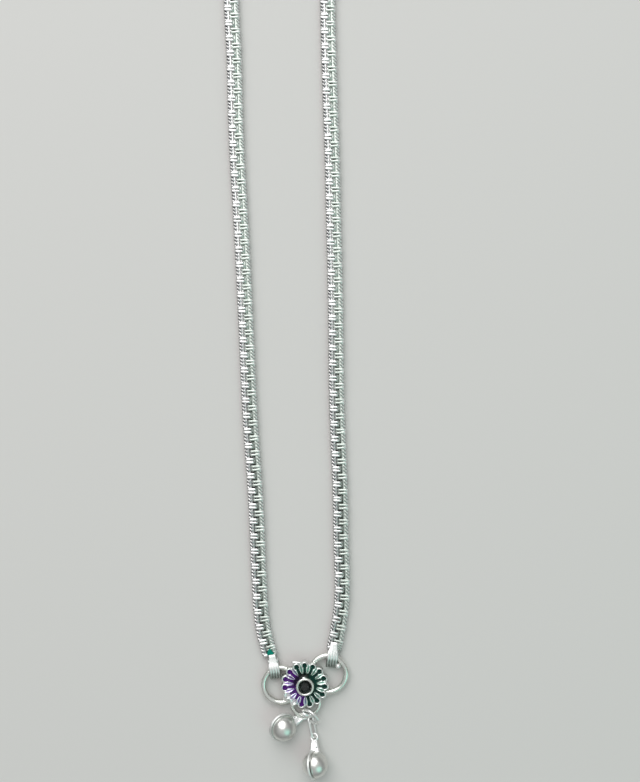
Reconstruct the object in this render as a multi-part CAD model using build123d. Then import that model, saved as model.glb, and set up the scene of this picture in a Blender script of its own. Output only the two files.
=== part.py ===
from build123d import *

import math
import os

# A silver payal (anklet) lying on a flat surface. Millimetres, Z up.
# The layout is set out from the centre of the flower (x right, y up along the strands, z = 0 the surface),
# and the whole anklet is shifted at the end so that its origin is at the middle of its bottom.

# ---- strands: flat chain ----
STRAP_WIDTH = 2.6
STRAP_THICK = 1.3
STRAP_EDGE_RADIUS = 0.35
RUN_SHARE = 0.45                # share of the shorter run that an arc takes up

# Routes of the strands' middle lines, from the front end loop to the back one.
LEFT_ROUTE = [
    (-5.97, 4.63), (-6.71, 6.85), (-7.42, 10.1), (-7.76, 14.2), (-8.1, 20.7), (-8.32, 27.4),
    (-8.75, 34.9), (-9.4, 43.4), (-9.78, 51.0), (-10.12, 59.6), (-10.66, 70.9), (-11.26, 82.4),
    (-11.88, 92.6), (-12.1, 100.8), (-12.3, 108.8), (-12.8, 117.3), (-12.86, 122.0), (-12.4, 125.8),
    (-11.0, 129.1), (-9.35, 131.2),
]
RIGHT_ROUTE = [
    (4.94, 5.7), (5.3, 7.4), (5.74, 9.7), (6.2, 12.6), (6.42, 16.2), (6.31, 20.0), (6.12, 25.5),
    (6.08, 31.4), (5.84, 38.0), (5.5, 45.4), (5.33, 52.5), (5.28, 61.4), (5.1, 71.4), (4.84, 81.0),
    (4.72, 88.0), (4.46, 95.6), (4.2, 103.6), (3.98, 110.6), (3.86, 117.0), (3.9, 121.9), (3.4, 125.8),
    (2.0, 129.1), (0.35, 131.2),
]

# ---- front and back end loops: bands folded round a wire ----
LOOP_MID_Z = 0.95               # height of the wire held in the fold
LOOP_INNER_HALF = 0.55          # half the clear height inside the fold
BAND_THICK = 0.4
FLUTE_PITCH = 0.47
FLUTE_COUNT = 4
FLUTE_DEPTH = 0.17
PLAIN_BAND_WIDTH = 1.4
TONGUE_WIDTH = 1.2
TONGUE_Z = (1.38, 1.8)          # tongue lying on the strap's last link
PIECE_GAP = 0.05
NECK_HEIGHT = 0.9               # the solid neck behind a folded band
SOLDER_BEAD_RADIUS = 0.28
BEAD_PLACE = (1.68, 1.12, -0.1) # on the right loop: away from the strand, across, up from the wire
# wire point, direction away from the strand, inner ends before and beyond the wire, strand's end, tongue's end
LEFT_LOOP = ((-5.29, 2.4), (0.165, -0.986), 1.5, 1.5, 2.22, 2.9)
RIGHT_LOOP = ((4.7, 4.59), (-0.128, -0.992), 0.6, 1.6, 1.09, 2.5)

# ---- flower station ----
RING_WIRE_RADIUS = 0.5
LEFT_RING = (-4.19, -0.39)
LEFT_RING_RADIUS = 2.98         # to the middle of the wire
RIGHT_RING = (3.89, 1.54)
RIGHT_RING_RADIUS = 3.14
LOWER_RING = (0.05, -3.22)
LOWER_RING_RADIUS = 2.46
LOWER_RING_WIRE_RADIUS = 0.3
LOWER_RING_Z = 1.15
PETALS = 15
GREEN_PETALS = 9
FIRST_PETAL_CW = -25.5          # first green petal, degrees clockwise from +Y
PLATE_Z = (1.35, 2.45)
PLATE_RADIUS = 3.62
PETAL_TIP_CENTRE = 3.35
PETAL_TIP_RADIUS = 0.7
CELL_FLOOR_Z = 2.1
POOL_RADIUS = 1.98              # enamelled pool round the bezel
CELL_TIP_CENTRE = 3.3
CELL_TIP_RADIUS = 0.37
CELL_NECK_HALF = 0.19
CELL_NECK_START = 2.85
CELL_MOUTH_HALF = 0.41
CELL_MOUTH_OUT = 1.88           # where the mouth opens into the pool
CELL_WAIST = (2.38, 0.235)      # a point on the neck's curved side: distance out, half width
BEZEL_RADIUS = 1.525
BEZEL_WALL = 0.42
BEZEL_TOP_Z = 4.0
BEZEL_FOOT_Z = 1.9
STONE_SEAT_Z = 2.65
SOLDER_SPOT_Z = 1.5
SOLDER_SPOTS = [(-3.14, -2.53, 0.55), (-1.98, -3.45, 0.5)]   # x, y, radius
TAB_SIZE = (1.25, 0.45, 0.5)
TAB_PLACE = (-1.85, 3.72, 2.2)
TAB_TURN = 14.0

# ---- enamel and stone ----
ENAMEL_TOP_Z = 2.36
ENAMEL_GAP = 0.02
ENAMEL_SPLIT_ANGLE = 0.6        # degrees left free each side where the two colours meet
STONE_RADIUS = 1.08
STONE_GIRDLE_Z = 3.25
STONE_GIRDLE_HALF = 0.06
STONE_TABLE_Z = 3.86
STONE_TABLE_RADIUS = 0.62
STONE_CULET_RADIUS = 0.55
STONE_FACETS = 8

# ---- jump ring and bell link: centre, azimuth of the level diameter, tilt about it, radius to mid-wire, wire ----
LINKS = {
    "jump_ring": ((0.9, -6.1, 1.46), -65, 48, 1.6, 0.24),
    "bell_link": ((1.15, -8.18, 1.2), 102, 41, 1.19, 0.19),
}

# ---- bells ----
BELL_RADIUS = 2.2
BELL_WALL = 0.3
LIP_RADIUS = 2.45               # the raised seam's outer radius
LIP_THICK = 0.56
LIP_ROUND = 0.1
SLIT_WIDTH = 0.16
SLIT_TOP_Z = 0.6                # the slit runs from here round the bottom, measured up from the ball's middle
EYE_WIRE_RADIUS = 0.17
EYE_RADIUS = 0.6                # to the middle of the wire
LEG_TOP_HALF = 0.45
LEG_FOOT_HALF = 0.75
NECK_SOLDER_THICK = 0.26
NECK_HOLE_RADIUS = 0.14
# ball centre, eye centre, direction across the seam, direction across the eye's legs
BELLS = {
    "bell_left": ((-3.7, -7.38, 2.22), (-0.26, -5.71, 0.56), (0.496, -0.178, 0.85), (1.81, -0.33, 0.01)),
    "bell_right": ((1.71, -13.61, 2.3), (1.56, -9.33, 1.1), (0.85, 0.17, 0.5), (0.44, -0.24, 0.26)),
}

# ---- clasp ----
HOOK_WIRE_RADIUS = 0.5
HOOK_EYE_RADIUS = 1.7           # to the middle of the wire
HOOK_CURL = 265.0
BACK_STRAP_END = 1.5            # strand's end to the middle of the hook's wire
BACK_NEAR = 0.85
BACK_FAR = 0.9


def route_radii(points):
    """Radius of the arc at each inner point: as large as its two runs allow."""
    radii = []
    for before, here, after in zip(points, points[1:], points[2:]):
        run_in = Vector(*here) - Vector(*before)
        run_out = Vector(*after) - Vector(*here)
        turn = math.radians(run_in.get_angle(run_out))
        shorter = min(run_in.length, run_out.length)
        radii.append(RUN_SHARE * shorter / math.tan(turn / 2))
    return radii


def strap(name, route):
    """One flat strand: a rounded bar swept along straight runs and tangent arcs."""
    height = STRAP_THICK / 2
    points = [(x, y, height) for x, y in route]
    radii = route_radii(points)
    path = FilletPolyline(*points, radius=radii)
    start = Plane(origin=path @ 0, x_dir=(path % 0).cross(Vector(0, 0, 1)), z_dir=path % 0)
    section = start * RectangleRounded(STRAP_WIDTH, STRAP_THICK, STRAP_EDGE_RADIUS)
    solid = sweep(section, path)
    expected = section.area * path.length
    print(name, "radii", [round(r, 1) for r in radii])
    print(name, "length", round(path.length, 2), "volume", round(solid.volume, 2), "of", round(expected, 2))
    return solid


def band_section(flutes):
    """Cross-section of a folded band, x across and y outward from the fold's middle plane."""
    half = FLUTE_PITCH * flutes / 2 if flutes else PLAIN_BAND_WIDTH / 2
    inner = LOOP_INNER_HALF
    outer = inner + BAND_THICK
    groove = outer - FLUTE_DEPTH
    if not flutes:
        return Pos(0, (inner + outer) / 2) * Rectangle(2 * half, BAND_THICK)
    edges = [Line((-half, groove), (-half, inner)), Line((-half, inner), (half, inner)),
             Line((half, inner), (half, groove))]
    for i in range(flutes):
        right = half - i * FLUTE_PITCH
        left = right - FLUTE_PITCH
        edges.append(ThreePointArc((right, groove), ((right + left) / 2, outer), (left, groove)))
    return make_face(Wire(edges))


def folded_band(near, far, flutes):
    """A band folded into a long eye: inner ends near (before the wire) and far (beyond it), along local X."""
    bend_near = -near + LOOP_INNER_HALF
    bend_far = far - LOOP_INNER_HALF
    upright = Plane(origin=(bend_near, 0, 0), x_dir=(0, 1, 0), z_dir=(1, 0, 0))
    top = upright * band_section(flutes)
    top_leg = extrude(top, bend_far - bend_near, dir=(1, 0, 0))
    bottom_leg = top_leg.mirror(Plane.XY)
    near_bend = revolve(top, Axis((bend_near, 0, 0), (0, -1, 0)), 180)
    far_bend = revolve(Pos(bend_far - bend_near, 0, 0) * top, Axis((bend_far, 0, 0), (0, 1, 0)), 180)
    return top_leg + bottom_leg + near_bend + far_bend


def placed(solid, wire_point, along):
    """Stand a folded band at the wire that it holds, its local X pointing away from the strand."""
    plane = Plane(origin=(*wire_point, LOOP_MID_Z), x_dir=(*along, 0), z_dir=(0, 0, 1))
    return plane * solid


def end_loop(wire_point, along, near, far, strap_end, tongue_back, bead_at=None):
    """A fluted front loop with its neck and the tongue that lies on the strand's last link."""
    solid = folded_band(near, far, FLUTE_COUNT)
    outer_near = near + BAND_THICK
    neck_back = strap_end - PIECE_GAP
    if neck_back > outer_near:
        neck_length = neck_back - near - BAND_THICK / 2
        solid += Pos(-neck_back + neck_length / 2, 0, 0) * Box(neck_length, TONGUE_WIDTH, NECK_HEIGHT)
    low, high = (z - LOOP_MID_Z for z in TONGUE_Z)
    tongue_length = tongue_back - near
    solid += Pos(-near - tongue_length / 2, 0, (low + high) / 2) * Box(tongue_length, TONGUE_WIDTH, high - low)
    if bead_at:
        solid += Pos(*bead_at) * Sphere(SOLDER_BEAD_RADIUS)
    return placed(solid, wire_point, along)


def clock(radius, degrees_clockwise):
    """Layout point at a radius from the flower's centre and an angle clockwise from +Y."""
    angle = math.radians(90 - degrees_clockwise)
    return (radius * math.cos(angle), radius * math.sin(angle))


def petal_angles():
    return [FIRST_PETAL_CW + i * 360 / PETALS for i in range(PETALS)]


def cell_face(shrink=0.0):
    """One drop-shaped cell along +Y, running into the pool at its inner end."""
    neck = CELL_NECK_HALF - shrink
    mouth = CELL_MOUTH_HALF - shrink
    waist_out, waist_half = CELL_WAIST
    inside = BEZEL_RADIUS
    right = ThreePointArc((mouth, CELL_MOUTH_OUT), (waist_half - shrink, waist_out), (neck, CELL_NECK_START))
    left = right.mirror(Plane.YZ)
    tip_line = Line((neck, CELL_NECK_START), (-neck, CELL_NECK_START))
    foot = Polyline((mouth, CELL_MOUTH_OUT), (mouth, inside), (-mouth, inside), (-mouth, CELL_MOUTH_OUT))
    throat = make_face(Wire([*right.edges(), *tip_line.edges(), *left.edges(), *foot.edges()]))
    stem = Pos(0, (CELL_NECK_START + CELL_TIP_CENTRE) / 2)
    stem *= Rectangle(2 * neck, CELL_TIP_CENTRE - CELL_NECK_START)
    return throat + stem + Pos(0, CELL_TIP_CENTRE) * Circle(CELL_TIP_RADIUS - shrink)


def flower_cells(shrink=0.0):
    """All the cells with the pool that they run into round the bezel."""
    cells = Circle(POOL_RADIUS - shrink)
    for angle in petal_angles():
        cells += Rot(0, 0, -angle) * cell_face(shrink)
    return cells - Circle(BEZEL_RADIUS + shrink)


def petal_fan(first, count):
    """Wedge that takes in some neighbouring petals, a hair short of the next ones."""
    start = FIRST_PETAL_CW + (first - 0.5) * 360 / PETALS + ENAMEL_SPLIT_ANGLE
    span = count * 360 / PETALS - 2 * ENAMEL_SPLIT_ANGLE
    rim = [clock(3 * POOL_RADIUS, start + span * i / count) for i in range(count + 1)]
    return Polygon((0, 0), *rim, align=None)


def flower_plate():
    """Scalloped plate with the cells cut into its face."""
    outline = Circle(PLATE_RADIUS)
    for angle in petal_angles():
        outline += Pos(*clock(PETAL_TIP_CENTRE, angle)) * Circle(PETAL_TIP_RADIUS)
    plate = Pos(0, 0, PLATE_Z[0]) * extrude(outline, PLATE_Z[1] - PLATE_Z[0])
    cells = Pos(0, 0, CELL_FLOOR_Z) * extrude(flower_cells(), PLATE_Z[1] - CELL_FLOOR_Z + 1)
    return plate - cells


def bezel():
    """Round setting with a full-round rim and a flat seat for the stone."""
    inner = BEZEL_RADIUS - BEZEL_WALL
    crown = BEZEL_TOP_Z - BEZEL_WALL / 2
    outline = Polyline((inner, 0, crown), (inner, 0, STONE_SEAT_Z), (0, 0, STONE_SEAT_Z), (0, 0, BEZEL_FOOT_Z),
                       (BEZEL_RADIUS, 0, BEZEL_FOOT_Z), (BEZEL_RADIUS, 0, crown))
    rim = ThreePointArc((BEZEL_RADIUS, 0, crown), ((BEZEL_RADIUS + inner) / 2, 0, BEZEL_TOP_Z), (inner, 0, crown))
    return revolve(make_face(Wire([*outline.edges(), *rim.edges()])), Axis.Z)


def flower_station():
    """Plate, bezel, the two side rings and the lower ring, soldered into one."""
    solid = Pos(*LEFT_RING, LOOP_MID_Z) * Torus(LEFT_RING_RADIUS, RING_WIRE_RADIUS)
    solid += Pos(*LOWER_RING, LOWER_RING_Z) * Torus(LOWER_RING_RADIUS, LOWER_RING_WIRE_RADIUS)
    for x, y, radius in SOLDER_SPOTS:
        solid += Pos(x, y, SOLDER_SPOT_Z) * Sphere(radius)
    solid += flower_plate()
    solid += Pos(*RIGHT_RING, LOOP_MID_Z) * Torus(RIGHT_RING_RADIUS, RING_WIRE_RADIUS)
    solid += bezel()
    solid += Pos(*TAB_PLACE) * Rot(0, 0, TAB_TURN) * Box(*TAB_SIZE)
    return solid


def enamel(first, count):
    """Enamel filling the cells of some petals, seated on the cells' floor."""
    face = flower_cells(ENAMEL_GAP) & petal_fan(first, count)
    return Pos(0, 0, CELL_FLOOR_Z) * extrude(face, ENAMEL_TOP_Z - CELL_FLOOR_Z)


def stone():
    """Faceted round stone: a blunt pavilion below the girdle and a crown with a flat table."""
    def ring_face(radius, z, turn):
        return Pos(0, 0, z) * Rot(0, 0, turn) * RegularPolygon(radius, 2 * STONE_FACETS)
    pavilion = loft([ring_face(STONE_CULET_RADIUS, STONE_SEAT_Z, 0),
                     ring_face(STONE_RADIUS, STONE_GIRDLE_Z - STONE_GIRDLE_HALF, 0)], ruled=True)
    girdle = extrude(ring_face(STONE_RADIUS, STONE_GIRDLE_Z - STONE_GIRDLE_HALF, 0), 2 * STONE_GIRDLE_HALF)
    crown = loft([ring_face(STONE_RADIUS, STONE_GIRDLE_Z + STONE_GIRDLE_HALF, 0),
                  ring_face(STONE_TABLE_RADIUS, STONE_TABLE_Z, 0)], ruled=True)
    return pavilion + girdle + crown


def wire_ring(centre, azimuth, tilt, radius, wire_radius):
    """A round ring whose level diameter points at azimuth and whose left side is raised by tilt."""
    return Pos(*centre) * Rot(0, 0, azimuth) * Rot(tilt, 0, 0) * Torus(radius, wire_radius)


def bell_shell():
    """Hollow ball with a raised seam round it, turned about local X."""
    lip_half = LIP_THICK / 2
    shoulder = math.sqrt(BELL_RADIUS ** 2 - lip_half ** 2)
    slant = BELL_RADIUS * math.sqrt(0.5)
    inner = BELL_RADIUS - BELL_WALL
    edge = LIP_RADIUS - LIP_ROUND
    corner = LIP_ROUND * (1 - math.sqrt(0.5))
    edges = []
    for side in (-1, 1):
        edges += [
            ThreePointArc((side * BELL_RADIUS, 0), (side * slant, slant), (side * lip_half, shoulder)),
            Line((side * lip_half, shoulder), (side * lip_half, edge)),
            ThreePointArc((side * lip_half, edge),
                          (side * (lip_half - corner), LIP_RADIUS - corner),
                          (side * (lip_half - LIP_ROUND), LIP_RADIUS)),
            Line((side * BELL_RADIUS, 0), (side * inner, 0)),
        ]
    edges.append(Line((LIP_ROUND - lip_half, LIP_RADIUS), (lip_half - LIP_ROUND, LIP_RADIUS)))
    edges.append(ThreePointArc((-inner, 0), (0, inner), (inner, 0)))
    return revolve(make_face(Wire(edges)), Axis.X)


def bell_neck(eye_height):
    """Wire eye on two spread legs with solder between them, in the local XZ plane."""
    top = eye_height - math.sqrt(EYE_RADIUS ** 2 - LEG_TOP_HALF ** 2)
    foot = math.sqrt(BELL_RADIUS ** 2 - LEG_FOOT_HALF ** 2) - BELL_WALL / 2
    neck = Pos(0, 0, eye_height) * Rot(90, 0, 0) * Torus(EYE_RADIUS, EYE_WIRE_RADIUS)
    for side in (-1, 1):
        start = Vector(side * LEG_TOP_HALF, 0, top)
        leg = Vector(side * LEG_FOOT_HALF, 0, foot) - start
        neck += Plane(origin=start, z_dir=leg) * extrude(Circle(EYE_WIRE_RADIUS), leg.length)
    web = Polygon((-LEG_TOP_HALF, top), (-LEG_FOOT_HALF, foot), (LEG_FOOT_HALF, foot), (LEG_TOP_HALF, top),
                  align=None)
    web -= Pos(0, BELL_RADIUS + 2 * NECK_HOLE_RADIUS) * Circle(NECK_HOLE_RADIUS)
    web -= Pos(0, eye_height) * Circle(EYE_RADIUS)
    return neck + extrude(Plane.XZ * web, NECK_SOLDER_THICK / 2, both=True)


def bell(ball, eye, across_seam, across_legs):
    """Hollow ghungroo: ball with a raised lipped seam, slit below, and a wire eye on spread legs."""
    axis = Vector(*eye) - Vector(*ball)
    frame = Plane(origin=ball, x_dir=across_seam, z_dir=axis)
    legs = frame.to_local_coords(Vector(*ball) + Vector(*across_legs))
    leg_turn = math.degrees(math.atan2(legs.Y, legs.X))
    slit = Pos(0, 0, SLIT_TOP_Z - LIP_RADIUS) * Box(SLIT_WIDTH, 3 * LIP_RADIUS, 2 * LIP_RADIUS)
    neck = Rot(0, 0, leg_turn) * bell_neck(axis.length)
    return frame * (bell_shell() - slit + neck)


def unit(x, y):
    length = math.hypot(x, y)
    return (x / length, y / length)


def back_loop(route, along):
    """A plain band at a strand's hidden end, folded round the hook's wire."""
    end_x, end_y = route[-1]
    solid = folded_band(BACK_NEAR, BACK_FAR, 0)
    neck_length = BACK_STRAP_END - PIECE_GAP - BACK_NEAR - BAND_THICK / 2
    solid += Pos(PIECE_GAP - BACK_STRAP_END + neck_length / 2, 0, 0) * Box(neck_length, TONGUE_WIDTH, NECK_HEIGHT)
    wire_point = (end_x + BACK_STRAP_END * along[0], end_y + BACK_STRAP_END * along[1])
    return placed(solid, wire_point, along)


def last_heading(route):
    """Direction in which a strand reaches its back end."""
    (x0, y0), (x1, y1) = route[-2:]
    return unit(x1 - x0, y1 - y0)


def hook_eye(route):
    """Centre of the hook's eye that a strand's back loop holds."""
    reach = BACK_STRAP_END + HOOK_EYE_RADIUS
    x, y = route[-1]
    dx, dy = last_heading(route)
    return (x + reach * dx, y + reach * dy)


def clasp_hook():
    """S-shaped hook of round wire lying flat between the two back loops."""
    left, right = hook_eye(LEFT_ROUTE), hook_eye(RIGHT_ROUTE)
    lean = math.degrees(math.asin(2 * HOOK_EYE_RADIUS / (right[0] - left[0])))
    left_curl = CenterArc(left, HOOK_EYE_RADIUS, lean - 90 - HOOK_CURL, HOOK_CURL)
    right_curl = CenterArc(right, HOOK_EYE_RADIUS, lean + 90, -HOOK_CURL)
    bar = Line(left_curl @ 1, right_curl @ 0)
    path = Pos(0, 0, LOOP_MID_Z) * Wire([left_curl.edge(), bar.edge(), right_curl.edge()])
    start = Plane(origin=path @ 0, z_dir=path % 0)
    return sweep(start * Circle(HOOK_WIRE_RADIUS), path)


def build():
    parts = {
        "strap_left": strap("strap_left", LEFT_ROUTE),
        "strap_right": strap("strap_right", RIGHT_ROUTE),
        "end_loop_left": end_loop(*LEFT_LOOP),
        "end_loop_right": end_loop(*RIGHT_LOOP, bead_at=BEAD_PLACE),
        "flower_station": flower_station(),
        "stone": stone(),
        "enamel_green": enamel(0, GREEN_PETALS),
        "enamel_purple": enamel(GREEN_PETALS, PETALS - GREEN_PETALS),
        "end_loop_back_left": back_loop(LEFT_ROUTE, last_heading(LEFT_ROUTE)),
        "end_loop_back_right": back_loop(RIGHT_ROUTE, last_heading(RIGHT_ROUTE)),
        "clasp_hook": clasp_hook(),
    }
    for name, placing in LINKS.items():
        parts[name] = wire_ring(*placing)
    for name, placing in BELLS.items():
        parts[name] = bell(*placing)
    return parts


def main():
    os.makedirs("parts", exist_ok=True)
    parts = build()
    boxes = [part.bounding_box() for part in parts.values()]
    low = [min(tuple(box.min)[i] for box in boxes) for i in range(3)]
    high = [max(tuple(box.max)[i] for box in boxes) for i in range(3)]
    shift = Pos(-(low[0] + high[0]) / 2, -(low[1] + high[1]) / 2, 0)
    print("layout box", [round(v, 3) for v in low], [round(v, 3) for v in high])
    for name, part in parts.items():
        export_step(shift * part, f"parts/{name}.step")


main()
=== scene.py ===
# %% [markdown]
# # A silver payal
# This lesson dresses the imported anklet: a long loop of flat chain, an enamelled flower carried by wire
# rings, and two small bells. Everything is in metres and in the frame of the imported model.

# %% Load the imported model
import math

import bpy
import numpy as np
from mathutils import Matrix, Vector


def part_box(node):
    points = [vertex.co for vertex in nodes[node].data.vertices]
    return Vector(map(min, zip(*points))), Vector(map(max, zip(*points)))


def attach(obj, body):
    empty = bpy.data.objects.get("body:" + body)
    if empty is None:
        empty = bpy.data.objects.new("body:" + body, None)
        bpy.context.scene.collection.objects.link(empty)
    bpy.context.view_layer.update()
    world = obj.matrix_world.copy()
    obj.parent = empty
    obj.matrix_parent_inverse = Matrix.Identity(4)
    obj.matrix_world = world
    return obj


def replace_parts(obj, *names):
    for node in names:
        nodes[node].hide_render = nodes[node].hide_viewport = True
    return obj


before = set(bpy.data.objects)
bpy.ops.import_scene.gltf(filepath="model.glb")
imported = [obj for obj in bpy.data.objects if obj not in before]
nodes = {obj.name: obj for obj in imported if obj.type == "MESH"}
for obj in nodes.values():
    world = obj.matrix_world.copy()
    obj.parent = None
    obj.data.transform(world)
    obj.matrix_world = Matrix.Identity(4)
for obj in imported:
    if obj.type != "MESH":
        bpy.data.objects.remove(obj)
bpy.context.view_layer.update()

# %% [markdown]
# All the pieces were set out from the middle of the flower, so the same is done here. The middle of the
# stone is the middle of the flower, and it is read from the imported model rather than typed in.

# %% Where the flower is
MM = 0.001
stone_low, stone_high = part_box("stone")
FLOWER = ((stone_low[0] + stone_high[0]) / 2, (stone_low[1] + stone_high[1]) / 2)


def spot(x, y, z=0.0):
    """A place given in millimetres from the flower's middle, in metres."""
    return (FLOWER[0] + x * MM, FLOWER[1] + y * MM, z * MM)


print("flower at", [round(v / MM, 2) for v in FLOWER], "mm")

# %% [markdown]
# ## Camera
# The anklet is seen from straight above. A 50 mm lens a hand's span away keeps a little perspective, so
# that the bells, which stand higher than the chain, look slightly larger.

# %% Camera
def new_object(name, data):
    """An object that is in the scene."""
    obj = bpy.data.objects.new(name, data)
    bpy.context.collection.objects.link(obj)
    return obj


CAMERA_PLACE = (2.55, 50.23, 188.0)  # mm from the flower
camera = new_object("camera", bpy.data.cameras.new("camera"))
camera.data.lens = 50
camera.data.clip_start = 0.01
camera.location = spot(*CAMERA_PLACE)
bpy.context.scene.camera = camera
print("camera at", [round(v / MM, 1) for v in camera.location], "mm")

# %% [markdown]
# ## Mesh helpers
# Jewellery is mostly wire and sheet, so most pieces are grids of points: rows of points along a path or
# round an axis. One helper turns a grid into faces, and another turns points and faces into an object that
# rides on the anklet. Fine values that a finish needs, such as how deep a point lies in a groove, are kept
# on the points as attributes. Every face has to look outward, so some grids are flipped.

# %% Mesh helpers
def spots(x, y, z):
    """spot() for whole grids of coordinates: one row per point."""
    return np.stack([FLOWER[0] + x * MM, FLOWER[1] + y * MM, z * MM], axis=-1).reshape(-1, 3)


def grid_faces(rows, columns, closed="", start=0):
    """Quads over a grid of points numbered row by row. `closed` is "rows" if the last row joins the first,
    "both" if the last column does so too, and "capped" for a tube that is covered at both ends."""
    faces = []
    for i in range(rows if closed in ("rows", "both") else rows - 1):
        for j in range(columns if closed in ("both", "capped") else columns - 1):
            a, b = i * columns + j, i * columns + (j + 1) % columns
            c, d = (i + 1) % rows * columns + (j + 1) % columns, (i + 1) % rows * columns + j
            faces.append((start + a, start + b, start + c, start + d))
    if closed == "capped":
        last = start + (rows - 1) * columns
        faces += [tuple(reversed(range(start, start + columns))), tuple(range(last, last + columns))]
    return faces


def full_turn(count):
    """Angles all the way round in even steps."""
    return 2 * np.pi * np.arange(count) / count


def flipped(faces):
    """The same faces, looking the other way."""
    return [face[::-1] for face in faces]


def piece(name, points, faces, material, slot="silver", **values):
    """A mesh object that rides on the anklet; each named value is stored for every point."""
    mesh = bpy.data.meshes.new(name)
    mesh.from_pydata([tuple(p) for p in points], [], faces)
    for key, numbers in values.items():
        numbers = np.asarray(numbers, dtype=float)
        kind, field = ("FLOAT_COLOR", "color") if numbers.ndim == 2 else ("FLOAT", "value")
        mesh.attributes.new(key, kind, "POINT").data.foreach_set(field, numbers.ravel())
    mesh.shade_smooth()
    mesh.materials.append(material)
    mesh.update()
    obj = new_object(name, mesh)
    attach(obj, "root")
    print(name, len(mesh.polygons), "faces")
    return obj


def smoothstep(low, high, value):
    """0 up to low, 1 from high on, and a soft rise between them."""
    t = np.clip((value - low) / (high - low), 0, 1)
    return t * t * (3 - 2 * t)


print("mesh helpers ready")

# %% [markdown]
# ## Silver
# Worn silver is never one even mirror. Skin and air leave a thin cloudy tarnish, handling leaves fine
# scratches, dark sulphide stays in the grooves where a cloth can't reach, and edges that are rubbed often
# turn white and satin. One metal shader gives the cloudy tarnish with a noise that shifts the colour and
# the roughness, and the scratches with a very fine bump. Two values stored on the points add the rest: one
# darkens, mostly as painted shade in recesses, grooves and creases, and the other whitens edges, partly as
# wear and partly as a painted highlight. A picture texture would do it too, but it would blur close up.

# %% Shader helpers
def give(tree, node, **inputs):
    """Set a node's inputs, each to a value or to the output of another node."""
    for key, value in inputs.items():
        socket = node.inputs[key.replace("_", " ")]
        if isinstance(value, bpy.types.NodeSocket):
            tree.links.new(value, socket)
        else:
            socket.default_value = value
    return node


def add(tree, kind, settings=(), **inputs):
    """A new shader node with its settings and its inputs."""
    node = tree.nodes.new(kind)
    for key, value in dict(settings).items():
        setattr(node, key, value)
    return give(tree, node, **inputs)


def stored(tree, name, output="Fac"):
    """What the points hold under a name."""
    return add(tree, "ShaderNodeAttribute", {"attribute_name": name}).outputs[output]


def colour_mix(tree, factor, a, b):
    """From colour a to colour b as the factor rises."""
    return add(tree, "ShaderNodeMix", {"data_type": "RGBA"}, Factor=factor, A=a, B=b)


def new_material(name):
    """A material with its node tree and its surface node."""
    material = bpy.data.materials.new(name)
    material.use_nodes = True
    return material, material.node_tree, material.node_tree.nodes["Principled BSDF"]


# %% Silver finishes
BRIGHT_SILVER = (0.97, 0.97, 0.96)


def silver(name, clean, tarnished, smooth, dull=0.36, cloud=0.5):
    """Worn silver: clean on the high places, tarnished in clouds, and darker where painted shade or tarnish
    is stored.
    """
    material, tree, metal = new_material(name)
    place = add(tree, "ShaderNodeTexCoord").outputs["Object"]
    clouds = add(tree, "ShaderNodeTexNoise", Vector=place, Scale=420.0, Detail=6.0, Roughness=0.6)
    amount = add(tree, "ShaderNodeMapRange", Value=clouds.outputs["Fac"], From_Min=0.42, From_Max=0.72,
                 To_Max=cloud)
    worst = add(tree, "ShaderNodeMath", {"operation": "MAXIMUM"})
    tree.links.new(amount.outputs["Result"], worst.inputs[0])
    tree.links.new(stored(tree, "grime"), worst.inputs[1])
    worst = worst.outputs["Value"]
    colour = colour_mix(tree, worst, (*clean, 1), (*tarnished, 1))
    colour.name = "Base Color mix"
    roughness = add(tree, "ShaderNodeMapRange", Value=worst, To_Min=smooth, To_Max=dull)
    scratches = add(tree, "ShaderNodeTexNoise", Vector=place, Scale=5200.0, Detail=4.0, Roughness=0.7)
    relief = add(tree, "ShaderNodeBump", Height=scratches.outputs["Fac"], Strength=0.2, Distance=0.00003)
    give(tree, metal, Metallic=1.0, Base_Color=colour.outputs["Result"],
         Roughness=roughness.outputs["Result"], Normal=relief.outputs["Normal"])
    return material


def whiten_wear_and_highlight(material, roughness):
    """Whiter and satin where the stored value says so: worn edges, and painted highlights where the lamps
    give none.
    """
    tree = material.node_tree
    metal, worn = tree.nodes["Principled BSDF"], tree.nodes["Base Color mix"]
    whitening = stored(tree, "polish")
    bright = colour_mix(tree, whitening, worn.inputs["A"].default_value, (*BRIGHT_SILVER, 1))
    brushed = add(tree, "ShaderNodeMix", Factor=whitening, B=roughness,
                  A=metal.inputs["Roughness"].links[0].from_socket)
    give(tree, worn, A=bright.outputs["Result"])
    give(tree, metal, Roughness=brushed.outputs["Result"])


wire_silver = silver("wire_silver", (0.86, 0.87, 0.83), (0.44, 0.46, 0.40), smooth=0.2)
bell_silver = silver("bell_silver", (0.80, 0.80, 0.77), (0.46, 0.46, 0.43), smooth=0.3, dull=0.42)
ring_silver = silver("ring_silver", BRIGHT_SILVER, (0.45, 0.46, 0.44), smooth=0.3, dull=0.4, cloud=0.3)
neck_silver = silver("neck_silver", BRIGHT_SILVER, (0.12, 0.13, 0.12), smooth=0.36, dull=0.4, cloud=0.12)
band_silver = silver("band_silver", BRIGHT_SILVER, (0.20, 0.25, 0.22), smooth=0.44, dull=0.38)
# The two rows are one metal: the right row's greyer, green-tinted colour is painted shade with a painted teal
# reflection.
chain_left_row = silver("chain_silver_left", (0.92, 0.91, 0.90), (0.12, 0.12, 0.13), smooth=0.32,
                        dull=0.42, cloud=0.2)
chain_right_row_teal_shade = silver("chain_silver_right_teal_shade", (0.66, 0.71, 0.66), (0.20, 0.23, 0.21), smooth=0.45,
                         cloud=0.25)
whiten_wear_and_highlight(bell_silver, 0.55)
whiten_wear_and_highlight(chain_right_row_teal_shade, 0.5)
print("silver finishes made")

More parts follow.
